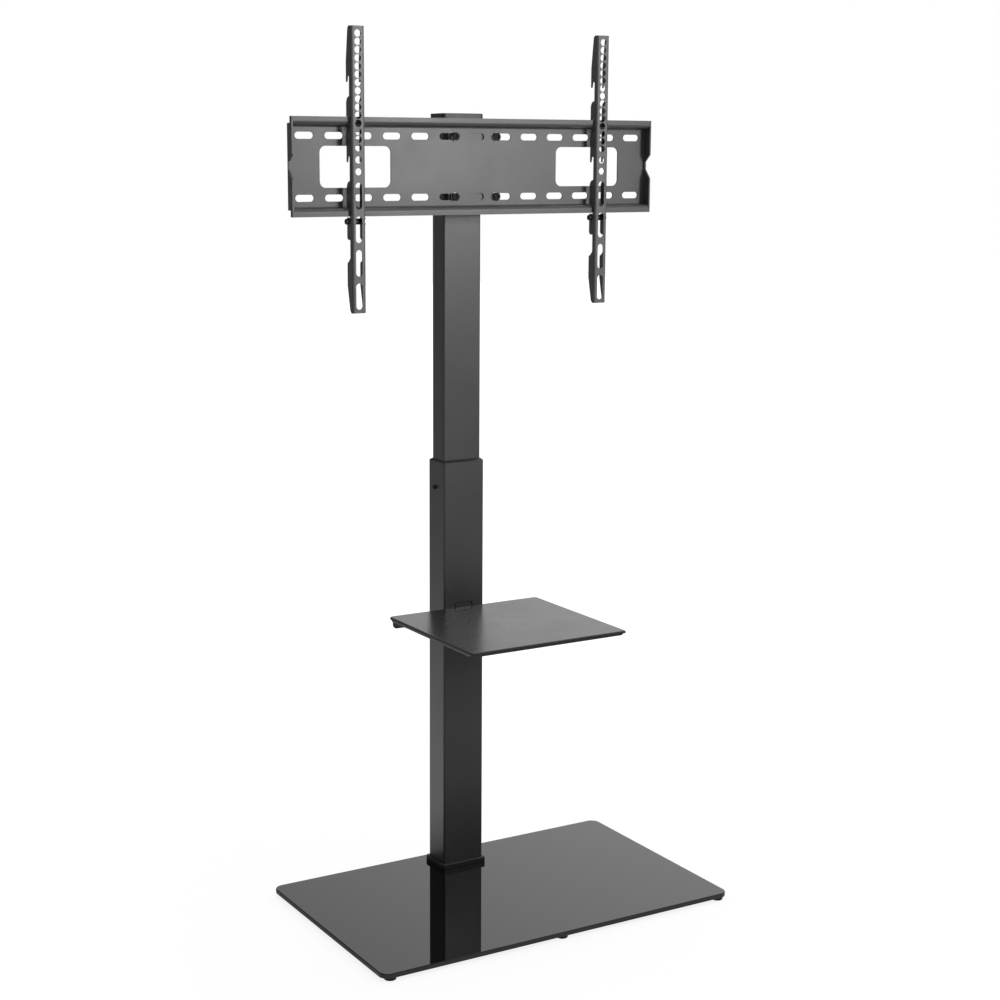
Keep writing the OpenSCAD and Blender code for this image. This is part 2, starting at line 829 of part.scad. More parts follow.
// Section of an arm, first axis across, second axis back
module arm_section() {
    r = arm_bend_r + arm_t;
    difference() {
        union() {
            translate([-arm_w / 2 + r, 0]) square([arm_w - 2 * r, arm_d]);
            translate([-arm_w / 2, r]) square([arm_w, arm_d - r]);
            for (s = [-1, 1]) translate([s * (arm_w / 2 - r), r]) circle(r);
        }
        translate([-arm_w / 2 + r, arm_t]) square([arm_w - 2 * r, arm_d]);
        translate([-arm_w / 2 + arm_t, r]) square([arm_w - 2 * arm_t, arm_d]);
        for (s = [-1, 1]) translate([s * (arm_w / 2 - r), r]) circle(arm_bend_r);
    }
}

module arm(x) {
    slots = floor((arm_len - arm_slot_end - arm_slot_len / 2 - arm_slot_start) / arm_slot_pitch);
    holes = concat([for (k = [0:arm_hole_count - 1]) arm_hole_start + k * arm_hole_pitch],
        [for (k = [0:extra_hole_count - 1]) extra_hole_start + k * extra_hole_pitch]);
    color("#808183") translate([x, arm_front, arm_top]) difference() {
        intersection() {
            translate([0, 0, -arm_len]) linear_extrude(arm_len) arm_section();
            translate([-arm_w / 2, 0, 0]) rotate([0, 90, 0]) linear_extrude(arm_w) arm_side();
        }
        translate([0, -over, 0]) to_back() linear_extrude(arm_t + 2 * over) {
            for (s = holes) translate([0, s]) circle(arm_hole_dia / 2);
            for (k = [0:slots]) translate([0, arm_slot_start + k * arm_slot_pitch])
                rotate(90) slot_outline(arm_slot_len, arm_hole_dia);
        }
        translate([-arm_w / 2 - over, arm_d - lug_edge, -arm_screw_s])
            to_right() cylinder(r = screw_r + thread_gap, h = arm_w + 2 * over);
    }
}

// Puts its children on an arm's cross screw, pointing to the right, from a side distance
module on_arm_screw(x, across) {
    translate([x + across, arm_screw_y, arm_screw_z]) to_right() children();
}

module arm_sleeve(x) {
    half = arm_w / 2 - arm_t - push_gap;
    color("#1c1c1c") on_arm_screw(x, -half) ring(sleeve_r, screw_r + thread_gap, 2 * half);
}

module arm_nut(x) {
    color("#a9abad") on_arm_screw(x, arm_w / 2) hex_nut(hex_af, screw_r + thread_gap, nut_h);
}

module arm_lock_screw(x) {
    len = slide_gap + arm_w + nut_h + screw_past_nut;
    color("#2a2b2c") on_arm_screw(x, -arm_w / 2 - slide_gap) lock_screw(head_r, head_t, len);
}

base_glass();
base_feet();
under_plate();
under_gasket();
foot_gasket();
base_screws();
glass_sleeves();
foot_plate();
base_collar();
lower_tube();
guide_bush();
height_lock_screw();
shelf_panel();
shelf_bolts();
shelf_washers();
shelf_nuts();
upper_tube();
slide_block();
top_cap();
head_bracket();
cross_bolts();
cross_washers();
cross_nuts();
mount_plate();
plate_bolts();
plate_washers();
plate_nuts();
arm(left_arm_x);  // arm_left
arm_sleeve(left_arm_x);  // arm_left_sleeve
arm_nut(left_arm_x);  // arm_left_nut
arm_lock_screw(left_arm_x);  // arm_left_lock_screw
arm(right_arm_x);  // arm_right
arm_sleeve(right_arm_x);  // arm_right_sleeve
arm_nut(right_arm_x);  // arm_right_nut
arm_lock_screw(right_arm_x);  // arm_right_lock_screw
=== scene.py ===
"""Dresses the television stand: a glass base, a two-stage steel column, a shelf and a slotted plate."""

import json
import logging
import math
from dataclasses import dataclass, field
from enum import Enum
from typing import ClassVar

import bmesh
import bpy
import numpy as np
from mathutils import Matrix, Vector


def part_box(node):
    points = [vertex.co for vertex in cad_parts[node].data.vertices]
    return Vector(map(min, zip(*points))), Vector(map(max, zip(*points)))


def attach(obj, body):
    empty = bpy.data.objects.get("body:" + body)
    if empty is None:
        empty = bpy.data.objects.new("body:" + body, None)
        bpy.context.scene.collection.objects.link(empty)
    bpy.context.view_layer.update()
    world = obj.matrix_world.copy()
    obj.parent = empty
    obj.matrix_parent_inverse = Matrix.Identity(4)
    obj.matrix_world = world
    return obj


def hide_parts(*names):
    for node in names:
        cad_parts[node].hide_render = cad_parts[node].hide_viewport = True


LOG = logging.getLogger("tv_stand")
MM = 0.001

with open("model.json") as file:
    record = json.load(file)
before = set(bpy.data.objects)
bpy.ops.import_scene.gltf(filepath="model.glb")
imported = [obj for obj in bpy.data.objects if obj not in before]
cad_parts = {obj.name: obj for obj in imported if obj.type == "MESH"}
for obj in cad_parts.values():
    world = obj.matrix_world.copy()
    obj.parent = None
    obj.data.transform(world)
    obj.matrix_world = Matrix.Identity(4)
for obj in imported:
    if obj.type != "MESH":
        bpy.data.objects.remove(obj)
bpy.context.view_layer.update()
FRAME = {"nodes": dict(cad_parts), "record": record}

Pair = tuple[float, float]
Triple = tuple[float, float, float]

# Rows that take the axis +Z to a direction
UPWARDS = np.eye(3)
TO_BACK = np.array([[1.0, 0.0, 0.0], [0.0, 0.0, 1.0], [0.0, -1.0, 0.0]])
TO_RIGHT = np.array([[0.0, 0.0, 1.0], [0.0, 1.0, 0.0], [-1.0, 0.0, 0.0]])

# Points round each turned ring, a multiple of six, so that a hexagon gets its corners
AROUND = 72
# A knurl's depth, and the radii of a thread's root and tip, as shares of the radius
KNURL_SHARE = 0.035
ROOT_SHARE = 0.9
TIP_SHARE = 0.94
# Corners keep at least this radius, and points closer than the next length become one
LEAST_RADIUS = 0.01 * MM
MERGE = 0.001 * MM
# How much a large face counts in the normals round it, from 1 to 100
LARGE_FACE_WEIGHT = 90
# In a copy of a node, neighbouring faces become one below the first angle, and edges are
# rounded above the second. A new piece's edges stay sharp above the third.
FLAT_ANGLE = math.radians(0.6)
ROUNDED_ANGLE = math.radians(32.0)
SHARP_ANGLE = math.radians(35.0)

# The level pieces, which would mirror the head lamp
MIRRORS = ("glass_plate", "bent_shelf")


class Side(Enum):
    """The two sides of the stand, seen from the front."""

    LEFT = -1
    RIGHT = 1


class Grain(Enum):
    """How fine the grain of a coated, moulded or plated surface is, as features per metre."""

    POWDER = 900.0
    MOULD = 1400.0
    BRUSH = 2600.0


class Cut(Enum):
    """The kinds of ring that a turned piece is made of."""

    ROUND = "round"
    KNURL = "knurl"
    HEX = "hex"


# A turned piece's rings: the kind, the radius or the width across flats, and the height of each
Rings = list[tuple[Cut, float, float]]
# Planes that cut a mesh: a point of each, and the direction of the side that is kept
Planes = list[tuple[Triple, Triple]]


class Wire:
    """A socket's value in a material, on which arithmetic adds Math nodes."""

    def __init__(self, nodes: "NodeSheet", socket: bpy.types.NodeSocket) -> None:
        """Keeps the sheet that the socket belongs to, and the socket."""
        self.nodes = nodes
        self.socket = socket

    def _maths(self, operation: str, first: "Wire | float", second: "Wire | float") -> "Wire":
        """Adds one Math node on two operands."""
        return self.nodes.add("ShaderNodeMath", {"operation": operation}, {0: first, 1: second})

    def __add__(self, other: "Wire | float") -> "Wire":
        """This value plus the other."""
        return self._maths("ADD", self, other)

    def __sub__(self, other: "Wire | float") -> "Wire":
        """This value minus the other."""
        return self._maths("SUBTRACT", self, other)

    def __mul__(self, other: "Wire | float") -> "Wire":
        """This value times the other."""
        return self._maths("MULTIPLY", self, other)

    def __pow__(self, other: "Wire | float") -> "Wire":
        """This value to a power."""
        return self._maths("POWER", self, other)

    def __rsub__(self, other: float) -> "Wire":
        """The other value minus this one."""
        return self._maths("SUBTRACT", other, self)

    __radd__ = __add__
    __rmul__ = __mul__


class NodeSheet:
    """The nodes of one material, added one after another."""

    def __init__(self, name: str, world: bpy.types.World | None = None) -> None:
        """Starts an empty material, or clears a world, and adds the output node.

        Args:
            name: the new material's name.
            world: the world to fill instead of a material.
        """
        self.material = world or bpy.data.materials.new(name)
        self.material.use_nodes = True
        self.tree = self.material.node_tree
        self.tree.nodes.clear()
        kind = "ShaderNodeOutputWorld" if world else "ShaderNodeOutputMaterial"
        self.output = self.tree.nodes.new(kind)

    def add(self, kind: str, settings: dict | None = None, inputs: dict | None = None,
            out: int | str = 0) -> Wire:
        """Adds any node.

        Args:
            kind: the node's type.
            settings: its properties; "stops" fills a colour ramp with (place, colour) pairs.
            inputs: values or wires for its sockets, by name or number.
            out: the output socket that is wanted.

        Returns:
            That output, as a wire.
        """
        node = self.tree.nodes.new(kind)
        for key, value in (settings or {}).items():
            if key == "stops":
                ramp = node.color_ramp
                while len(ramp.elements) < len(value):
                    ramp.elements.new(0.5)
                for element, (place, colour) in zip(ramp.elements, value):
                    element.position = place
                    element.color = colour
            else:
                setattr(node, key, value)
        for key, value in (inputs or {}).items():
            if isinstance(value, Wire):
                self.tree.links.new(value.socket, node.inputs[key])
            else:
                node.inputs[key].default_value = value
        return Wire(self, node.outputs[out])

    def place(self) -> Wire:
        """Object coordinates, in metres."""
        return self.add("ShaderNodeTexCoord", out="Object")

    def part(self, vector: Wire, axis: str) -> Wire:
        """A vector's X, Y or Z."""
        return self.add("ShaderNodeSeparateXYZ", {}, {0: vector}, out=axis)

    def noise(self, scale: float, detail: float, vector: Wire | None = None) -> Wire:
        """Noise between 0 and 1 with a number of features per metre."""
        where = vector or self.place()
        return self.add("ShaderNodeTexNoise", {}, {"Vector": where, "Scale": scale, "Detail": detail})

    def stretched(self, factors: Triple) -> Wire:
        """Object coordinates multiplied along each axis."""
        return self.add("ShaderNodeMapping", {}, {"Vector": self.place(), "Scale": factors})

    def band(self, value: Wire, low: float, high: float) -> Wire:
        """A value taken from 0..1 to low..high."""
        return low + value * (high - low)

    def eased(self, value: Wire, start: Pair, end: Pair) -> Wire:
        """A value taken smoothly from one range to another, and held at its ends."""
        return self.add("ShaderNodeMapRange", {"interpolation_type": "SMOOTHSTEP"}, {
            "Value": value, "From Min": start[0], "From Max": start[1],
            "To Min": end[0], "To Max": end[1]})

    def tint(self, amount: Wire, first: Triple, second: Triple) -> Wire:
        """A colour between two, by an amount."""
        return self.add("ShaderNodeMix", {"data_type": "RGBA"},
                        {0: amount, 6: (*first, 1.0), 7: (*second, 1.0)}, out=2)

    def bump(self, height: Wire, strength: float, distance: float) -> Wire:
        """A normal from a height."""
        return self.add("ShaderNodeBump", {},
                        {"Height": height, "Strength": strength, "Distance": distance})

    def finish(self, inputs: dict) -> bpy.types.Material:
        """Adds the Principled shader and joins it to the output.

        Args:
            inputs: values or wires for its sockets, by name.

        Returns:
            The finished material.
        """
        shader = self.add("ShaderNodeBsdfPrincipled", {}, inputs)
        self.tree.links.new(shader.socket, self.output.inputs["Surface"])
        return self.material


def scaled(colour: Triple, factor: float) -> Triple:
    """A colour made lighter or darker."""
    return tuple(min(1.0, channel * factor) for channel in colour)


def either_side(middle: float, spread: float) -> Pair:
    """The values at the same distance below and above a middle one."""
    return middle - spread, middle + spread


@dataclass(frozen=True)
class PowderCoat:
    """Baked powder coat on steel: a satin skin with a fine orange peel.

    Its shade is a share of broad clouds and the rest of fine dust.
    """

    name: str
    colour: Triple
    roughness: float = 0.42
    peel: float = 0.25
    shine: float = 0.45
    peel_depth: float = 0.12 * MM
    clouds: float = 16.0
    dust: float = 160.0
    cloud_share: float = 0.7
    shade_spread: float = 0.3
    gloss_spread: float = 0.07

    def material(self) -> bpy.types.Material:
        """Makes the finish.

        Returns:
            The material.
        """
        sheet = NodeSheet(self.name)
        peel = sheet.noise(Grain.POWDER.value, detail=3.0)
        cloud = sheet.noise(self.clouds, detail=5.0)
        dust = sheet.noise(self.dust, detail=5.0)
        shade = cloud * self.cloud_share + dust * (1.0 - self.cloud_share)
        dark, light = (scaled(self.colour, f) for f in either_side(1.0, self.shade_spread))
        return sheet.finish({
            "Base Color": sheet.tint(shade, dark, light),
            "Roughness": sheet.band(cloud, *either_side(self.roughness, self.gloss_spread)),
            "Specular IOR Level": self.shine,
            "Normal": sheet.bump(peel, self.peel, self.peel_depth),
        })


@dataclass(frozen=True)
class BlackGlass:
    """Tempered glass, black all through, with faint wipe marks on its polish."""

    name: str
    colour: Triple
    wipes: float = 14.0
    wipe_stretch: Triple = (1.0, 3.2, 1.0)
    wipe_light: float = 1.3
    polish: Pair = (0.015, 0.05)
    refraction: float = 1.52

    def material(self) -> bpy.types.Material:
        """Makes the finish.

        Returns:
            The material.
        """
        sheet = NodeSheet(self.name)
        wipe = sheet.noise(self.wipes, detail=5.0, vector=sheet.stretched(self.wipe_stretch))
        return sheet.finish({
            "Base Color": sheet.tint(wipe, self.colour, scaled(self.colour, self.wipe_light)),
            "Roughness": sheet.band(wipe ** 2.0, *self.polish),
            "IOR": self.refraction,
        })


@dataclass(frozen=True)
class Moulded:
    """Moulded plastic or rubber with a fine grain."""

    name: str
    colour: Triple
    roughness: float = 0.5
    grain: float = 0.3
    grain_depth: float = 0.1 * MM
    clouds: float = 30.0
    shade_spread: float = 0.1
    gloss_spread: float = 0.06

    def material(self) -> bpy.types.Material:
        """Makes the finish.

        Returns:
            The material.
        """
        sheet = NodeSheet(self.name)
        grain = sheet.noise(Grain.MOULD.value, detail=2.0)
        cloud = sheet.noise(self.clouds, detail=3.0)
        dark, light = (scaled(self.colour, f) for f in either_side(1.0, self.shade_spread))
        return sheet.finish({
            "Base Color": sheet.tint(cloud, dark, light),
            "Roughness": sheet.band(cloud, *either_side(self.roughness, self.gloss_spread)),
            "Normal": sheet.bump(grain, self.grain, self.grain_depth),
        })


@dataclass(frozen=True)
class Plated:
    """Plated steel of screws, nuts and washers, with fine turning marks."""

    name: str
    colour: Triple
    roughness: float = 0.3
    clouds: float = 220.0
    dull_shade: float = 0.85
    gloss_spread: float = 0.15
    marks: float = 0.2
    mark_depth: float = 0.04 * MM

    def material(self) -> bpy.types.Material:
        """Makes the finish.

        Returns:
            The material.
        """
        sheet = NodeSheet(self.name)
        marks = sheet.noise(Grain.BRUSH.value, detail=2.0)
        cloud = sheet.noise(self.clouds, detail=3.0)
        return sheet.finish({
            "Base Color": sheet.tint(cloud, scaled(self.colour, self.dull_shade), self.colour),
            "Roughness": sheet.band(cloud, self.roughness, self.roughness + self.gloss_spread),
            "Metallic": 1.0,
            "Normal": sheet.bump(marks, self.marks, self.mark_depth),
        })


# The plate's bolts are darker than their washers, which are of the same material slot
DARK_BOLTS = "dark_bolts"

# The finish of each material slot in the record, and that of the dark bolts
FINISHES = {
    "black_glass": BlackGlass("polished_black_glass", (0.006, 0.0062, 0.0068)),
    "black_rubber": Moulded("foot_rubber", (0.018, 0.018, 0.018), 0.7),
    "black_steel": PowderCoat("hidden_black_coat", (0.022, 0.022, 0.023)),
    "zinc_steel": Plated("zinc_plate", (0.46, 0.47, 0.48)),
    "bright_steel": Plated("bright_plate", (0.6, 0.61, 0.62)),
    DARK_BOLTS: PowderCoat("black_oxide_bolts", (0.012, 0.012, 0.0125), 0.55, 0.1, 0.15),
    "black_oxide_steel": PowderCoat("black_oxide", (0.03, 0.03, 0.031), 0.35, 0.1),
    "white_nylon": Moulded("natural_nylon", (0.75, 0.75, 0.72), 0.45),
    "black_plastic": Moulded("black_plastic", (0.02, 0.02, 0.0205), 0.45),
    "cap_plastic": Moulded("cap_plastic", (0.028, 0.028, 0.029), 0.45),
    "column_powder": PowderCoat("column_coat", (0.05, 0.05, 0.051), 0.34),
    "shelf_powder": PowderCoat("shelf_coat", (0.05, 0.05, 0.051), 0.28),
    # Painted light: the plate and the arms take the column's powder coat with a lighter colour, for the
    # front light that falls on them
    "plate_powder": PowderCoat("plate_coat", (0.08, 0.08, 0.081), 0.4),
    "arm_powder": PowderCoat("arm_coat", (0.1, 0.1, 0.101), 0.4),
}


class Palette:
    """Makes each finish once and puts it on the pieces that take it."""

    def __init__(self, record: dict) -> None:
        """Reads which slot each node of the record takes."""
        self.made: dict[str, bpy.types.Material] = {}
        self.slots = {row["node"]: row["material_slot"] for row in record["subparts"]}

    def of(self, look: str) -> bpy.types.Material:
        """Makes a finish, or finds it if it is made.

        Args:
            look: the finish, by its name in the list of finishes.

        Returns:
            The material.
        """
        if look not in self.made:
            self.made[look] = FINISHES[look].material()
        return self.made[look]

    def dress(self, thing: bpy.types.Object, look: str) -> None:
        """Puts a finish on every material slot of an object.

        Args:
            thing: the object.
            look: the finish, by its name in the list of finishes.
        """
        if not thing.material_slots:
            thing.data.materials.append(None)
        for holder in thing.material_slots:
            holder.material = self.of(look)


def skins(name: str, shells: list[np.ndarray], closed: bool = False) -> bpy.types.Object:
    """Makes one mesh from sets of rings of points.

    Every four points that lie side by side on two neighbouring rings make one face.

    Args:
        name: the piece's name.
        shells: for each shell its points, as ring, place on the ring, and X, Y, Z in metres.
        closed: True where the last ring joins the first, False where both are filled.

    Returns:
        The new object.
    """
    points, faces, start = [], [], 0
    for rings in shells:
        count, around = rings.shape[:2]
        first = np.arange(count if closed else count - 1)[:, None]
        side = np.arange(around)[None, :]
        after, beside = (first + 1) % count, (side + 1) % around
        faces += (start + np.stack([
            first * around + side, first * around + beside,
            after * around + beside, after * around + side,
        ], axis=-1).reshape(-1, 4)).tolist()
        if not closed:
            faces.append(list(range(start, start + around))[::-1])
            faces.append(list(range(start + (count - 1) * around, start + count * around)))
        points += rings.reshape(-1, 3).tolist()
        start += count * around
    mesh = bpy.data.meshes.new(name)
    mesh.from_pydata(points, [], faces)
    thing = bpy.data.objects.new(name, mesh)
    bpy.context.scene.collection.objects.link(thing)
    return thing


def flat_faces_stay_flat(thing: bpy.types.Object) -> None:
    """Lets the large faces set the normals at their edges, so a bend doesn't shade its sheet.

    Args:
        thing: the object.
    """
    modifier = thing.modifiers.new("weighted_normals", "WEIGHTED_NORMAL")
    modifier.keep_sharp = True
    modifier.weight = LARGE_FACE_WEIGHT


def tidy_skin(thing: bpy.types.Object) -> None:
    """Merges an object's doubles, turns its faces outwards and smooths all but sharp edges.

    Args:
        thing: the object.
    """
    shell = bmesh.new()
    shell.from_mesh(thing.data)
    bmesh.ops.remove_doubles(shell, verts=shell.verts, dist=2 * MERGE)
    bmesh.ops.dissolve_degenerate(shell, edges=shell.edges, dist=2 * MERGE)
    bmesh.ops.recalc_face_normals(shell, faces=shell.faces)
    for face in shell.faces:
        face.smooth = True
    for edge in shell.edges:
        edge.smooth = len(edge.link_faces) == 2 and edge.calc_face_angle() < SHARP_ANGLE
    shell.to_mesh(thing.data)
    shell.free()
    flat_faces_stay_flat(thing)


def carried(name: str, plan: tuple[float, float, float, float], profile: list[Pair], centre: Pair,
            steps: int) -> bpy.types.Object:
    """A profile carried round a rectangle with round corners, its two ends filled.

    A profile point's first number moves the outline outwards, so the rectangle grows by it on
    every side and the corner radius with it, and its second number is the height. Each corner
    is an arc: its centre, plus the radius times the cosine and sine of an angle that runs
    through a quarter turn.

    Args:
        name: the piece's name.
        plan: width, depth, and back and front corner radius of the rectangle.
        profile: the profile's points.
        centre: the rectangle's centre.
        steps: arc steps in each corner.

    Returns:
        The new object.
    """
    width, depth, back, front = plan
    out, height = np.array(profile).T[:, :, None]
    corner = np.repeat(np.arange(4), steps + 1)
    angle = corner * np.pi / 2 + np.tile(np.linspace(0, np.pi / 2, steps + 1), 4)
    sign_x = np.where((corner == 0) | (corner == 3), 1.0, -1.0)
    sign_y = np.where(corner < 2, 1.0, -1.0)
    radius = np.maximum(np.where(corner < 2, back, front) + out, LEAST_RADIUS)
    x = centre[0] + sign_x * (width / 2 + out - radius) + radius * np.cos(angle)
    y = centre[1] + sign_y * (depth / 2 + out - radius) + radius * np.sin(angle)
    z = np.broadcast_to(height, x.shape)
    thing = skins(name, [np.stack([x, y, z], axis=-1)])
    tidy_skin(thing)
    return thing


def arc(centre: Pair, radius: float, start: float, end: float, steps: int = 4) -> list[Pair]:
    """Points on an arc: its centre, plus the radius times the cosine and sine of an angle.

    Args:
        centre: the arc's centre.
        radius: its radius.
        start: the first point's angle, in degrees.
        end: the last point's angle, in degrees.
        steps: steps from the first point to the last.

    Returns:
        The points.
    """
    turn = np.radians(np.linspace(start, end, steps + 1))
    return list(zip(centre[0] + radius * np.cos(turn), centre[1] + radius * np.sin(turn)))


def slab(across: np.ndarray, height: np.ndarray, depths: Pair, along_x: bool) -> np.ndarray:
    """An upright outline repeated at two depths.

    Args:
        across: each corner's place along the slab.
        height: each corner's height.
        depths: the places of the slab's two faces across its thickness.
        along_x: True where the slab runs along X, False where it runs along Y.

    Returns:
        The points, as face, corner, and X, Y, Z.
    """
    rings = np.empty((2, len(across), 3))
    run, thickness = (0, 1) if along_x else (1, 0)
    rings[:, :, run] = across
    rings[:, :, thickness] = np.array(depths)[:, None]
    rings[:, :, 2] = height
    return rings


def turned(name: str, rings: Rings, places: list[Triple], way: np.ndarray,
           closed: bool = False) -> bpy.types.Object:
    """Turned pieces with round, hexagonal and knurled stretches, one at each place.

    A ring's points have the radius times a shape, which depends on the angle. It is one on a
    round ring. On a knurled ring it has a small ripple, from each point to the next. On a
    hexagon it is half over the cosine of the angle to the nearest flat's middle.

    Args:
        name: the piece's name.
        rings: the rings of one piece along +Z.
        places: where each piece stands.
        way: rows that take the axis +Z to the pieces' direction.
        closed: True for a ring-shaped piece, whose last ring joins the first.

    Returns:
        The new object.
    """
    angle = np.linspace(0, 2 * np.pi, AROUND, endpoint=False)
    shapes = {
        Cut.ROUND: np.ones(AROUND),
        Cut.KNURL: 1.0 - KNURL_SHARE * (0.5 + 0.5 * np.cos(angle * AROUND / 2)),
        Cut.HEX: 0.5 / np.cos(angle % (np.pi / 3) - np.pi / 6),
    }
    radius = np.array([shapes[kind] * size for kind, size, _ in rings])
    height = np.broadcast_to(np.array([[level] for _, _, level in rings]), radius.shape)
    local = np.stack([radius * np.cos(angle), radius * np.sin(angle), height], axis=-1)
    shells = [local @ way.T + np.array(place) for place in places]
    thing = skins(name, shells, closed)
    tidy_skin(thing)
    return thing


def thread(radius: float, start: float, end: float, pitch: float) -> Rings:
    """A screw's thread as rings, crest and root by turns, each turn a pitch or a little more.

    Args:
        radius: the crest's radius.
        start: where the thread begins.
        end: where it ends.
        pitch: the least height of a turn.

    Returns:
        The rings, the last of them the broken edge at the tip.
    """
    turns = max(1, int((end - start) / pitch))
    turn = (end - start) / turns
    rings = []
    for k in range(turns):
        rings.append((Cut.ROUND, radius, start + k * turn))
        rings.append((Cut.ROUND, radius * ROOT_SHARE, start + (k + 0.5) * turn))
    return rings + [(Cut.ROUND, radius * TIP_SHARE, end)]


@dataclass(frozen=True)
class Screw:
    """A screw with a round head and a hexagonal key hole, along +Z, its head ending at zero.

    The head and the shank are given by radius, the key hole by its width across flats. The
    first two shares are of the head's height, and the last two of the key hole's width.
    """

    head: float
    height: float
    shank: float
    length: float
    key: float
    pitch: float = 1.0 * MM
    side: Cut = Cut.ROUND
    hole_share: float = 0.55
    soft_share: float = 0.12
    floor_share: float = 0.96
    mouth_share: float = 1.1
    closed: ClassVar[bool] = False

    def rings(self) -> Rings:
        """The rings from the floor of the key hole to the tip of the thread.

        The edges of the head and of the key hole are rounded in one or two flat steps.

        Returns:
            The rings.
        """
        top, soft = -self.height, self.height * self.soft_share
        return [
            (Cut.HEX, self.key * self.floor_share, top + self.height * self.hole_share),
            (Cut.HEX, self.key, top + soft),
            (Cut.HEX, self.key * self.mouth_share, top),
            (Cut.ROUND, self.head - 2 * soft, top),
            (Cut.ROUND, self.head - 0.6 * soft, top + 0.4 * soft),
            (Cut.ROUND, self.head, top + 1.4 * soft),
            (self.side, self.head, top + 2.2 * soft),
            (self.side, self.head, -2 * soft),
            (Cut.ROUND, self.head, -1.2 * soft),
            (Cut.ROUND, self.head - 0.6 * soft, 0.0),
            (Cut.ROUND, self.shank, 0.0),
        ] + thread(self.shank, self.shank * 0.2, self.length, self.pitch)


def both_ends(end: Rings, height: float) -> Rings:
    """The rings of a piece's lower end, then the same ones in reverse at its upper end."""
    return end + [(kind, size, height - level) for kind, size, level in reversed(end)]


@dataclass(frozen=True)
class Nut:
    """A hexagonal nut along +Z, by its width across flats, its hole's radius and its height.

    The shares are of its width: the broken edge, and the radii of the end face and its rim.
    """

    flats: float
    bore: float
    height: float
    edge_share: float = 0.05
    face_share: float = 0.47
    rim_share: float = 0.495
    closed: ClassVar[bool] = True

    def rings(self) -> Rings:
        """A loop of rings, from the bore over one chamfered end to the other.

        Returns:
            The rings.
        """
        edge = self.flats * self.edge_share
        return both_ends([
            (Cut.ROUND, self.bore, edge),
            (Cut.ROUND, self.bore + edge, 0.0),
            (Cut.ROUND, self.flats * self.face_share, 0.0),
            (Cut.ROUND, self.flats * self.rim_share, edge * 0.5),
            (Cut.HEX, self.flats, edge * 1.4),
        ], self.height)


@dataclass(frozen=True)
class Washer:
    """A washer or a sleeve along +Z, by its outer radius, its hole's radius and its height.

    Its broken edge is a share of its height, up to the widest edge.
    """

    outer: float
    bore: float
    height: float
    edge_share: float = 0.25
    widest_edge: float = 0.4 * MM
    closed: ClassVar[bool] = True

    def rings(self) -> Rings:
        """A loop of rings, from the bore over one broken edge to the other.

        Returns:
            The rings.
        """
        edge = min(self.height * self.edge_share, self.widest_edge)
        return both_ends([
            (Cut.ROUND, self.bore, edge),
            (Cut.ROUND, self.bore + edge, 0.0),
            (Cut.ROUND, self.outer - edge, 0.0),
            (Cut.ROUND, self.outer, edge),
        ], self.height)


def softened(node: str, name: str, width: float, segments: int = 2,
             cuts: Planes | None = None) -> bpy.types.Object:
    """A copy of a node with its sharp edges rounded, as bent steel and moulded plastic have them.

    Args:
        node: the node's name.
        name: the piece's name.
        width: width of the rounding, in metres.
        segments: steps across the rounding.
        cuts: planes that cut parts of the node off.

    Returns:
        The new object.
    """
    mesh = FRAME["nodes"][node].data.copy()
    mesh.name = name
    mesh.materials.clear()
    thing = bpy.data.objects.new(name, mesh)
    bpy.context.scene.collection.objects.link(thing)
    shell = bmesh.new()
    shell.from_mesh(mesh)
    bmesh.ops.remove_doubles(shell, verts=shell.verts, dist=MERGE)
    for point, way in cuts or []:
        everything = shell.verts[:] + shell.edges[:] + shell.faces[:]
        bmesh.ops.bisect_plane(shell, geom=everything, plane_co=point, plane_no=way,
                               clear_inner=True)
        rims = [edge for edge in shell.edges if edge.is_boundary]
        bmesh.ops.holes_fill(shell, edges=rims)
    bmesh.ops.dissolve_limit(shell, angle_limit=FLAT_ANGLE, verts=shell.verts, edges=shell.edges)
    for face in shell.faces:
        face.smooth = True
    shell.to_mesh(mesh)
    shell.free()
    if mesh.has_custom_normals:
        mesh.normals_split_custom_set([(0.0, 0.0, 0.0)] * len(mesh.loops))
    rounding = thing.modifiers.new("edge_rounding", "BEVEL")
    rounding.width = width
    rounding.segments = segments
    rounding.limit_method = "ANGLE"
    rounding.angle_limit = ROUNDED_ANGLE
    flat_faces_stay_flat(thing)
    return thing


def joined(thing: bpy.types.Object, others: list[bpy.types.Object]) -> bpy.types.Object:
    """Takes the meshes of other objects into one object, which keeps its modifiers.

    Args:
        thing: the object that stays.
        others: the objects that go into it.

    Returns:
        The object that stays.
    """
    shell = bmesh.new()
    for part in [thing, *others]:
        shell.from_mesh(part.data)
    bmesh.ops.recalc_face_normals(shell, faces=shell.faces)
    for face in shell.faces:
        face.smooth = True
    shell.to_mesh(thing.data)
    shell.free()
    for part in others:
        bpy.data.objects.remove(part)
    return thing


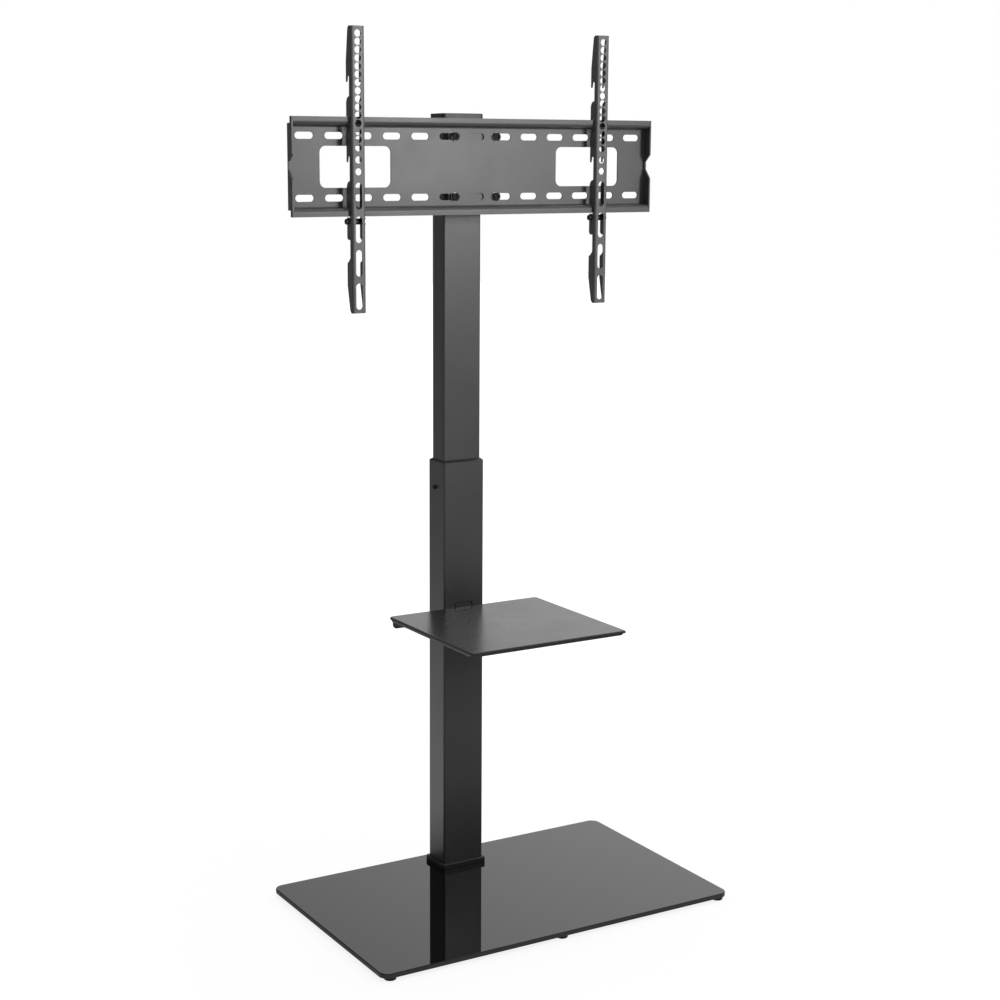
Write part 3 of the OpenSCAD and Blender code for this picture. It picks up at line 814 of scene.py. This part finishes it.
@dataclass
class Assembly:
    """What every sub-assembly has: its palette and the names of the pieces that it has made."""

    palette: Palette
    made: list[str] = field(default_factory=list)

    def keep(self, thing: bpy.types.Object, body: str, node: str, look: str = "") -> None:
        """Dresses a new piece, rides it on its body and lets it stand for its node.

        Args:
            thing: the piece.
            body: the body that it moves with.
            node: the node that it replaces.
            look: a finish other than its material slot's.
        """
        slot = self.palette.slots[node]
        self.palette.dress(thing, look or slot)
        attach(thing, body)
        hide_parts(node)
        self.made.append(thing.name)

    def turn(self, kind: Screw | Nut | Washer, name: str, places: list[Triple], way: np.ndarray,
             body: str, node: str, look: str = "") -> None:
        """Makes the screws, nuts or washers that stand for a node, one at each place."""
        self.keep(turned(name, kind.rings(), places, way, kind.closed), body, node, look)

    def soften(self, node: str, name: str, body: str, width: float, segments: int = 2) -> None:
        """Puts a copy of a node with rounded edges in its place."""
        self.keep(softened(node, name, width, segments), body, node)

    def dress_node(self, node: str) -> None:
        """Gives a node that stays its finish."""
        self.palette.dress(FRAME["nodes"][node], self.palette.slots[node])
        self.made.append(node)


@dataclass
class GlassBase(Assembly):
    """The glass with its ground edge, the feet under it and what clamps the column on it.

    A foot's hollow is given by the radii of its floor and mouth and by its depth, as shares of
    the foot's radius and height. The groove is given by the heights of its four edges.
    """

    corner: float = 16 * MM
    edge: float = 1.6 * MM
    foot_spread: Pair = (308 * MM, 187.5 * MM)
    foot_radius: float = 9.5 * MM
    foot_height: float = 4.5 * MM
    foot_groove: float = 0.3 * MM
    soft_share: float = 0.3
    hollow_shares: Triple = (0.35, 0.4, 0.12)
    groove_shares: tuple[float, ...] = (0.55, 0.6, 0.68, 0.73)
    screw_spread: Pair = (22 * MM, 12 * MM)
    screw_head: float = 5.5 * MM
    screw_radius: float = 3 * MM
    screw_key: float = 4 * MM
    screw_hole: float = 2.2 * MM
    screw_slope: float = 2.5 * MM
    screw_soft: float = 0.2 * MM
    screw_pitch: float = 1 * MM
    screw_low: float = 1 * MM
    screw_top: float = 19 * MM
    axis_y: float = 148 * MM
    plate_edge: float = 0.4 * MM
    collar_edge: float = 0.5 * MM

    def glass(self) -> None:
        """The glass plate, its top and bottom edges ground round."""
        low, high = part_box("base_glass")
        edge = self.edge
        profile = [(-edge, low.z)]
        profile += arc((-edge, low.z + edge), edge, -90, 0)[1:]
        profile += arc((-edge, high.z - edge), edge, 0, 90)
        plan = (high.x - low.x, high.y - low.y, self.corner, self.corner)
        glass = carried("glass_plate", plan, profile, centre=(0.0, 0.0), steps=16)
        self.keep(glass, "stand", "base_glass")

    def feet(self) -> None:
        """Six bumper feet, hollow below, with a soft lower edge and a moulded groove."""
        r, h, groove = self.foot_radius, self.foot_height, self.foot_groove
        soft = h * self.soft_share
        floor, mouth, hollow = self.hollow_shares
        rings = [(Cut.ROUND, r * floor, hollow * h), (Cut.ROUND, r * mouth, 0.0)]
        rings += [(Cut.ROUND, x, z) for x, z in arc((r - soft, soft), soft, -90, 0, steps=5)]
        rings += [(Cut.ROUND, r - inwards, share * h)
                  for inwards, share in zip((0.0, groove, groove, 0.0), self.groove_shares)]
        rings.append((Cut.ROUND, r, h))
        x, y = self.foot_spread
        places = [(sx * x, sy * y, 0.0) for sx in (-1, 0, 1) for sy in (-1, 1)]
        self.keep(turned("rubber_feet", rings, places, UPWARDS), "stand", "base_feet")

    def screws(self) -> None:
        """Four countersunk screws that hold the column's foot through the glass."""
        r, head, low, key = self.screw_radius, self.screw_head, self.screw_low, self.screw_key
        soft, neck = self.screw_soft, low + self.screw_slope
        rings = [
            (Cut.HEX, key - soft / 2, low + self.screw_hole), (Cut.HEX, key + soft / 2, low + soft),
            (Cut.HEX, key + 2 * soft, low), (Cut.ROUND, head - 1.5 * soft, low),
            (Cut.ROUND, head - soft, low + soft), (Cut.ROUND, r, neck),
        ] + thread(r, neck + 2.5 * soft, self.screw_top, self.screw_pitch)
        x, y = self.screw_spread
        places = [(sx * x, self.axis_y + sy * y, 0.0) for sx in (-1, 1) for sy in (-1, 1)]
        self.keep(turned("foot_screws", rings, places, UPWARDS), "stand", "base_screws")

    def build(self) -> None:
        """Makes the pieces of the base."""
        self.glass()
        self.feet()
        self.screws()
        self.soften("under_plate", "clamp_plate", "stand", self.plate_edge)
        self.soften("base_collar", "foot_collar", "stand", self.collar_edge, segments=3)
        for node in ("under_gasket", "foot_gasket", "glass_sleeves", "foot_plate"):
            self.dress_node(node)


@dataclass
class Column(Assembly):
    """The two tubes, the bush between them, the slide block, the cap and the height lock screw."""

    lock: Screw = Screw(head=3.5 * MM, height=3.4 * MM, shank=3 * MM, length=3 * MM, key=3.9 * MM)
    lock_place: Triple = (-38.3 * MM, 152 * MM, 674 * MM)
    tube_edge: float = 0.25 * MM
    bush_edge: float = 0.4 * MM
    plug_edge: float = 0.5 * MM

    def build(self) -> None:
        """Makes the pieces of the column."""
        self.soften("lower_tube", "outer_tube", "stand", self.tube_edge)
        self.soften("guide_bush", "guide_sleeve", "stand", self.bush_edge, segments=3)
        self.soften("upper_tube", "inner_tube", "mast", self.tube_edge)
        self.soften("slide_block", "sliding_plug", "mast", self.plug_edge)
        self.soften("top_cap", "end_cap", "mast", self.plug_edge, segments=3)
        self.turn(self.lock, "height_screw", [self.lock_place], TO_RIGHT, "height_lock",
                  "height_lock_screw")


@dataclass
class Shelf(Assembly):
    """The shelf with its hook, bolts, washers and nuts."""

    size: Pair = (287 * MM, 270 * MM)
    top: float = 472 * MM
    tube_front: float = 122 * MM
    back_radius: float = 8 * MM
    front_radius: float = 5 * MM
    sheet: float = 2 * MM
    bend: float = 2.6 * MM
    rounding: float = 0.4 * MM
    lip: float = 2 * MM
    lip_soft: float = 0.3 * MM
    edge: float = 6.5 * MM
    slant: float = 6 * MM
    flange_gap: float = 0.05 * MM
    hook_gap: float = 0.002 * MM
    boss_half: float = 15 * MM
    boss_rise: float = 7 * MM
    boss_inset: float = 0.4 * MM
    boss_past: float = 0.9 * MM
    bolt_x: float = 16 * MM
    bolt_z: float = 460 * MM
    bolt: Screw = Screw(head=5 * MM, height=2.5 * MM, shank=2.5 * MM, length=9.4 * MM,
                        key=3.2 * MM, pitch=0.8 * MM)
    washer: Washer = Washer(5 * MM, 2.75 * MM, 1 * MM)
    nut: Nut = Nut(8 * MM, 2.55 * MM, 4 * MM)

    @property
    def lip_middle(self) -> float:
        """The height in the lip where the edges begin and the flange is cut off."""
        return self.top - self.sheet - 0.5 * self.lip

    def tray(self) -> bpy.types.Object:
        """The sheet with its rounded bend and the lip under it.

        Returns:
            The new object.
        """
        width, depth = self.size
        low = self.top - self.sheet - self.lip
        soft = self.lip_soft
        profile = [(-self.sheet, self.top - self.sheet), (-self.sheet, low + soft),
                   (soft - self.sheet, low), (-soft, low), (0.0, low + soft)]
        profile += arc((-self.bend, self.top - self.bend), self.bend, 0, 90, steps=6)
        return carried("shelf_tray", (width, depth, self.back_radius, self.front_radius), profile,
                       centre=(0.0, self.tube_front - depth / 2), steps=8)

    def skirt(self, start: float, end: float, outside: float, along_x: bool) -> np.ndarray:
        """One edge of the sheet, whose lower side is shorter at both ends by the slant.

        Args:
            start: where its upper side begins.
            end: where its upper side ends.
            outside: the lower place of its two faces across its thickness.
            along_x: True where it runs along X, False where it runs along Y.

        Returns:
            The points of its two faces.
        """
        high, low = self.lip_middle, self.top - self.edge
        across = np.array([start, end, end - self.slant, start + self.slant])
        return slab(across, np.array([high, high, low, low]), (outside, outside + self.sheet),
                    along_x)

    def skirts(self) -> bpy.types.Object:
        """The front and side edges, lower in the middle than at their slanting ends.

        Returns:
            The new object.
        """
        width, depth = self.size
        half, face = width / 2, self.tube_front - depth
        side = (face + self.front_radius, self.tube_front - self.back_radius)
        return skins("shelf_skirts", [
            self.skirt(self.front_radius - half, half - self.front_radius, face, True),
            self.skirt(*side, -half, False),
            self.skirt(*side, half - self.sheet, False),
        ])

    def sheet_metal(self) -> bpy.types.Object:
        """The bent sheet in one piece.

        Its flange and hook are the solid's, cut off behind the tray and behind the tube's front
        face. Its tray and its edges are new.

        Returns:
            The new object.
        """
        back, down = (0.0, 1.0, 0.0), (0.0, 0.0, -1.0)
        behind_tray = (0.0, self.tube_front - self.sheet - self.flange_gap, 0.0)
        in_lip = (0.0, 0.0, self.lip_middle)
        in_tube = (0.0, self.tube_front + self.hook_gap, 0.0)
        flange = softened("shelf_panel", "bent_shelf", self.rounding,
                          cuts=[(behind_tray, back), (in_lip, down)])
        hook = softened("shelf_panel", "shelf_hook", self.rounding, cuts=[(in_tube, back)])
        return joined(flange, [hook, self.tray(), self.skirts()])

    def boss(self) -> bpy.types.Object:
        """The pressed face of the hook, which nearly fills its slot in the tube.

        Returns:
            The new object.
        """
        across = np.array([-1.0, 1.0, 1.0, -1.0]) * self.boss_half
        height = self.top + np.array([0.0, 0.0, 1.0, 1.0]) * self.boss_rise
        depths = (self.tube_front + self.boss_inset, self.tube_front + self.sheet + self.boss_past)
        thing = skins("hook_face", [slab(across, height, depths, True)])
        tidy_skin(thing)
        return thing

    def build(self) -> None:
        """Makes the pieces of the shelf."""
        self.keep(self.sheet_metal(), "stand", "shelf_panel")
        self.keep(self.boss(), "stand", "shelf_panel")
        outside, inside = [
            [(s * self.bolt_x, y, self.bolt_z) for s in (-1, 1)]
            for y in (self.tube_front - self.sheet - self.washer.height, self.tube_front + self.sheet)]
        self.turn(self.bolt, "shelf_screws", outside, TO_BACK, "stand", "shelf_bolts")
        self.turn(self.washer, "shelf_rings", outside, TO_BACK, "stand", "shelf_washers")
        self.turn(self.nut, "shelf_hex_nuts", inside, TO_BACK, "stand", "shelf_nuts")


@dataclass
class PlateHead(Assembly):
    """The slotted plate, the bracket behind it and their bolts."""

    middle: float = 1198.8 * MM
    row: float = 47 * MM
    bolt_x: float = 38 * MM
    washer_face: float = 86.5 * MM
    bracket_back: float = 93.6 * MM
    cross_z: float = 25 * MM
    leg_out: float = 38.1 * MM
    axis_y: float = 148 * MM
    bolt: Screw = Screw(head=6.4 * MM, height=3.3 * MM, shank=3 * MM, length=13.4 * MM, key=5 * MM)
    washer: Washer = Washer(7 * MM, 3.25 * MM, 1.6 * MM)
    nut: Nut = Nut(10 * MM, 3.05 * MM, 5 * MM)
    cross_bolt: Screw = Screw(head=6.5 * MM, height=5.3 * MM, shank=4 * MM, length=87.2 * MM,
                              key=6 * MM, pitch=1.25 * MM, side=Cut.KNURL)
    cross_washer: Washer = Washer(8 * MM, 4.25 * MM, 1.6 * MM)
    cross_nut: Nut = Nut(13 * MM, 4.05 * MM, 6.5 * MM)
    plate_edge: float = 0.35 * MM
    bracket_edge: float = 0.5 * MM

    def plate_bolts(self) -> None:
        """Socket-headed bolts, washers and nuts that hold the plate on its bracket."""
        fronts, backs = [
            [(sx * self.bolt_x, y, self.middle + sz * self.row) for sx in (-1, 1) for sz in (-1, 1)]
            for y in (self.washer_face, self.bracket_back)]
        self.turn(self.bolt, "plate_screws", fronts, TO_BACK, "mast", "plate_bolts", DARK_BOLTS)
        self.turn(self.washer, "plate_rings", fronts, TO_BACK, "mast", "plate_washers")
        self.turn(self.nut, "plate_hex_nuts", backs, TO_BACK, "mast", "plate_nuts")

    def cross_bolts(self) -> None:
        """The two long bolts through the bracket's legs and the upper tube."""
        washer = self.cross_washer.height
        heads, inner, outer = [
            [(x, self.axis_y, self.middle + s * self.cross_z) for s in (-1, 1)]
            for x in (-self.leg_out - washer, self.leg_out, self.leg_out + washer)]
        self.turn(self.cross_bolt, "cross_screws", heads, TO_RIGHT, "mast", "cross_bolts")
        self.turn(self.cross_washer, "cross_rings", heads + inner, TO_RIGHT, "mast",
                  "cross_washers")
        self.turn(self.cross_nut, "cross_hex_nuts", outer, TO_RIGHT, "mast", "cross_nuts")

    def build(self) -> None:
        """Makes the pieces of the head."""
        self.soften("mount_plate", "slotted_plate", "mast", self.plate_edge)
        self.soften("head_bracket", "bent_bracket", "mast", self.bracket_edge)
        self.plate_bolts()
        self.cross_bolts()


@dataclass
class HookArm(Assembly):
    """One hooked arm with its sleeve, nut and lock screw.

    Both arms hang a shift to the right of the places that would mirror each other.
    """

    side: Side = Side.LEFT
    middle: float = 224 * MM
    shift: float = 2.3 * MM
    half: float = 12 * MM
    sheet: float = 2 * MM
    edge: float = 0.35 * MM
    gap: float = 0.1 * MM
    head_gap: float = 0.3 * MM
    screw_y: float = 75.6 * MM
    screw_z: float = 1116.1 * MM
    sleeve_radius: float = 4.75 * MM
    sleeve_bore: float = 3.05 * MM
    nut: Nut = Nut(10 * MM, 3.05 * MM, 5 * MM)
    lock: Screw = Screw(head=4.5 * MM, height=4.7 * MM, shank=3 * MM, length=30.6 * MM,
                        key=4 * MM, side=Cut.KNURL)

    def on_screw(self, across: float) -> list[Triple]:
        """A place on the lock screw's axis, by its distance from the arm's middle."""
        return [(self.side.value * self.middle + self.shift + across, self.screw_y, self.screw_z)]

    def build(self) -> None:
        """Makes the pieces of the arm."""
        name = self.side.name.lower()
        stem, body = f"arm_{name}", f"{name}_arm"
        reach = self.half - self.sheet - self.gap
        sleeve = Washer(self.sleeve_radius, self.sleeve_bore, 2 * reach)
        self.soften(stem, f"{name}_hook_arm", body, self.edge)
        self.turn(sleeve, f"{name}_sleeve", self.on_screw(-reach), TO_RIGHT, body, f"{stem}_sleeve")
        self.turn(self.nut, f"{name}_hex_nut", self.on_screw(self.half), TO_RIGHT, body,
                  f"{stem}_nut")
        self.turn(self.lock, f"{name}_screw", self.on_screw(-self.half - self.head_gap), TO_RIGHT,
                  f"{body}_lock", f"{stem}_lock_screw")


@dataclass(frozen=True)
class Lamp:
    """A rectangular soft lamp, which points from its place at a target, with its beam in degrees."""

    name: str
    place: Triple
    target: Triple
    size: Pair
    watts: float
    beam: float = 180.0

    def hang(self) -> bpy.types.Object:
        """Adds the lamp to the scene, its -Z turned to the target.

        Returns:
            The lamp.
        """
        data = bpy.data.lights.new(self.name, "AREA")
        data.shape = "RECTANGLE"
        data.size, data.size_y = self.size
        data.energy = self.watts
        data.spread = math.radians(self.beam)
        thing = bpy.data.objects.new(self.name, data)
        thing.location = self.place
        x, y, z = np.array(self.target) - np.array(self.place)
        thing.rotation_euler = (math.atan2(math.hypot(x, y), -z), 0.0, math.atan2(-x, y))
        bpy.context.scene.collection.objects.link(thing)
        return thing

    def hang_flagged(self, names: list[str]) -> None:
        """Adds the lamp and keeps it off all but some pieces, as a studio's black flags do.

        Args:
            names: the pieces that it lights.
        """
        lit = bpy.data.collections.new(f"lit_by_{self.name}")
        for name in names:
            lit.objects.link(bpy.data.objects[name])
        self.hang().light_linking.receiver_collection = lit


@dataclass
class Studio:
    """The floor, the lamps, the white world and the camera.

    A span is a pair of places between which a light rises smoothly, and a light is a pair of
    strengths at its ends. The painted reflection, bands of floor glow that only mirrors see, is
    listed as places along Y, each with its strength.
    """

    camera_place: Triple = (-1.51615, -2.46544, 1.2032)
    camera_pitch: float = 79.611
    camera_yaw: float = -29.651
    lens: float = 65.99
    sensor: float = 36.0
    shift_x: float = 0.0586
    far: float = 100.0
    floor_half: float = 14.0
    floor_grey: float = 0.62
    floor_white: float = 0.9
    floor_glow: float = 1.2
    shadow_span: Pair = (0.5, 1.5)
    shadow_light: Pair = (0.72, 1.0)
    # Painted reflection: how strongly the floor glows in mirrors, in bands along Y
    painted_reflection_half: float = 3.0
    painted_reflection: tuple[Pair, ...] = (
        (-2.6, 0.8), (-1.9, 0.55), (-1.2, 0.12), (-0.6, 0.03), (-0.27, 0.6), (-0.1, 0.1), (0.2, 0.1),
        (0.42, 1.0), (0.9, 0.85), (1.45, 0.55), (1.9, 0.45), (2.8, 0.15))
    side_span: Pair = (0.0, 0.66)
    side_light: Pair = (0.18, 1.25)
    front_span: Pair = (0.05, 0.45)
    front_light: Pair = (0.15, 0.6)
    back_span: Pair = (-0.25, 0.35)
    overhead: Lamp = Lamp("overhead", (0.0, 0.2, 3.2), (0.0, 0.1, 0.6), (2.0, 2.0), 22.0)
    head_lamp: Lamp = Lamp("head_lamp", (1.05, -2.1, 1.5), (-0.1, 0.1, 1.2), (0.7, 0.8), 5.3, 70.0)

    def camera(self) -> None:
        """The camera at the photograph's place and angle."""
        data = bpy.data.cameras.new("camera")
        data.lens = self.lens
        data.sensor_width = self.sensor
        data.shift_x = self.shift_x
        data.clip_end = self.far
        thing = bpy.data.objects.new("camera", data)
        thing.location = self.camera_place
        thing.rotation_euler = (math.radians(self.camera_pitch), 0.0, math.radians(self.camera_yaw))
        bpy.context.scene.collection.objects.link(thing)
        bpy.context.scene.camera = thing

    def floor(self) -> None:
        """A plain pale floor that the camera sees almost white, with the stand's shadow."""
        half = self.floor_half
        mesh = bpy.data.meshes.new("floor")
        mesh.from_pydata([(-half, -half, 0), (half, -half, 0), (half, half, 0), (-half, half, 0)],
                         [], [(0, 1, 2, 3)])
        thing = bpy.data.objects.new("floor", mesh)
        bpy.context.scene.collection.objects.link(thing)
        thing.data.materials.append(self.floor_finish())

    def floor_finish(self) -> bpy.types.Material:
        """The floor's material: plain, with a share of white glow.

        For the camera the share rises from the stand outwards. In a mirror it follows the list
        of strengths, which spans the painted reflection's half width on either side of the stand's
        middle, so that mirrors show a painted reflection of glowing bands.

        Returns:
            The material.
        """
        sheet = NodeSheet("pale_floor")
        seen = sheet.add("ShaderNodeLightPath", out="Is Camera Ray")
        shiny = sheet.add("ShaderNodeLightPath", out="Is Glossy Ray")
        place = sheet.place()
        away = sheet.add("ShaderNodeVectorMath", {"operation": "LENGTH"}, {0: place}, out="Value")
        along = sheet.part(place, "Y") * (0.5 / self.painted_reflection_half) + 0.5
        stops = [(0.5 + y / self.painted_reflection_half / 2, (level, level, level, 1.0))
                 for y, level in self.painted_reflection]
        # Painted reflection: the floor's glow in mirrors, in bands along Y
        painted_reflection = sheet.add("ShaderNodeValToRGB", {"stops": stops}, {0: along})
        shadow = sheet.eased(away, self.shadow_span, self.shadow_light)
        colour = sheet.tint(seen, (self.floor_grey,) * 3, (self.floor_white,) * 3)
        plain = sheet.add("ShaderNodeBsdfDiffuse", {}, {"Color": colour})
        bright = sheet.add("ShaderNodeEmission", {}, {"Strength": self.floor_glow})
        share = seen * shadow + shiny * painted_reflection
        shown = sheet.add("ShaderNodeMixShader", {}, {0: share, 1: plain, 2: bright})
        sheet.tree.links.new(shown.socket, sheet.output.inputs["Surface"])
        return sheet.material

    def world(self) -> None:
        """White where the camera looks; for the object a studio that is bright behind and right.

        The light from a direction is a side share, which rises smoothly from left to right, times
        a depth share, which rises smoothly from the front to the bright back, and at the front from
        the dark horizon to the ceiling. In a world, Object coordinates are the direction.
        """
        world = bpy.data.worlds.new("studio")
        bpy.context.scene.world = world
        sheet = NodeSheet("studio", world)
        way = sheet.place()
        side = sheet.eased(sheet.part(way, "X"), self.side_span, self.side_light)
        front = sheet.eased(sheet.part(way, "Z"), self.front_span, self.front_light)
        back = sheet.eased(sheet.part(way, "Y"), self.back_span, (0.0, 1.0))
        depth = front + back * (1.0 - front)
        seen = sheet.add("ShaderNodeLightPath", out="Is Camera Ray")
        strength = seen + (1.0 - seen) * side * depth
        light = sheet.add("ShaderNodeBackground", {},
                          {"Color": (1.0, 1.0, 1.0, 1.0), "Strength": strength})
        sheet.tree.links.new(light.socket, sheet.output.inputs["Surface"])

    def build(self, upright: list[str]) -> None:
        """Sets up the studio.

        Args:
            upright: the pieces that the head lamp lights, all but the level ones that mirror it.
        """
        bpy.context.scene.view_settings.view_transform = "Standard"
        self.camera()
        self.floor()
        self.world()
        self.overhead.hang()
        self.head_lamp.hang_flagged(upright)


def main() -> None:
    """Builds the sub-assemblies in order."""
    logging.basicConfig(level=logging.INFO, format="%(message)s")
    palette = Palette(FRAME["record"])
    parts = [
        GlassBase(palette), Column(palette), Shelf(palette), PlateHead(palette),
        HookArm(palette, side=Side.LEFT), HookArm(palette, side=Side.RIGHT),
    ]
    for part in parts:
        part.build()
        LOG.info("%s: %s", type(part).__name__, ", ".join(part.made))
    Studio().build([name for part in parts for name in part.made if name not in MIRRORS])


if __name__ == "__main__":
    main()
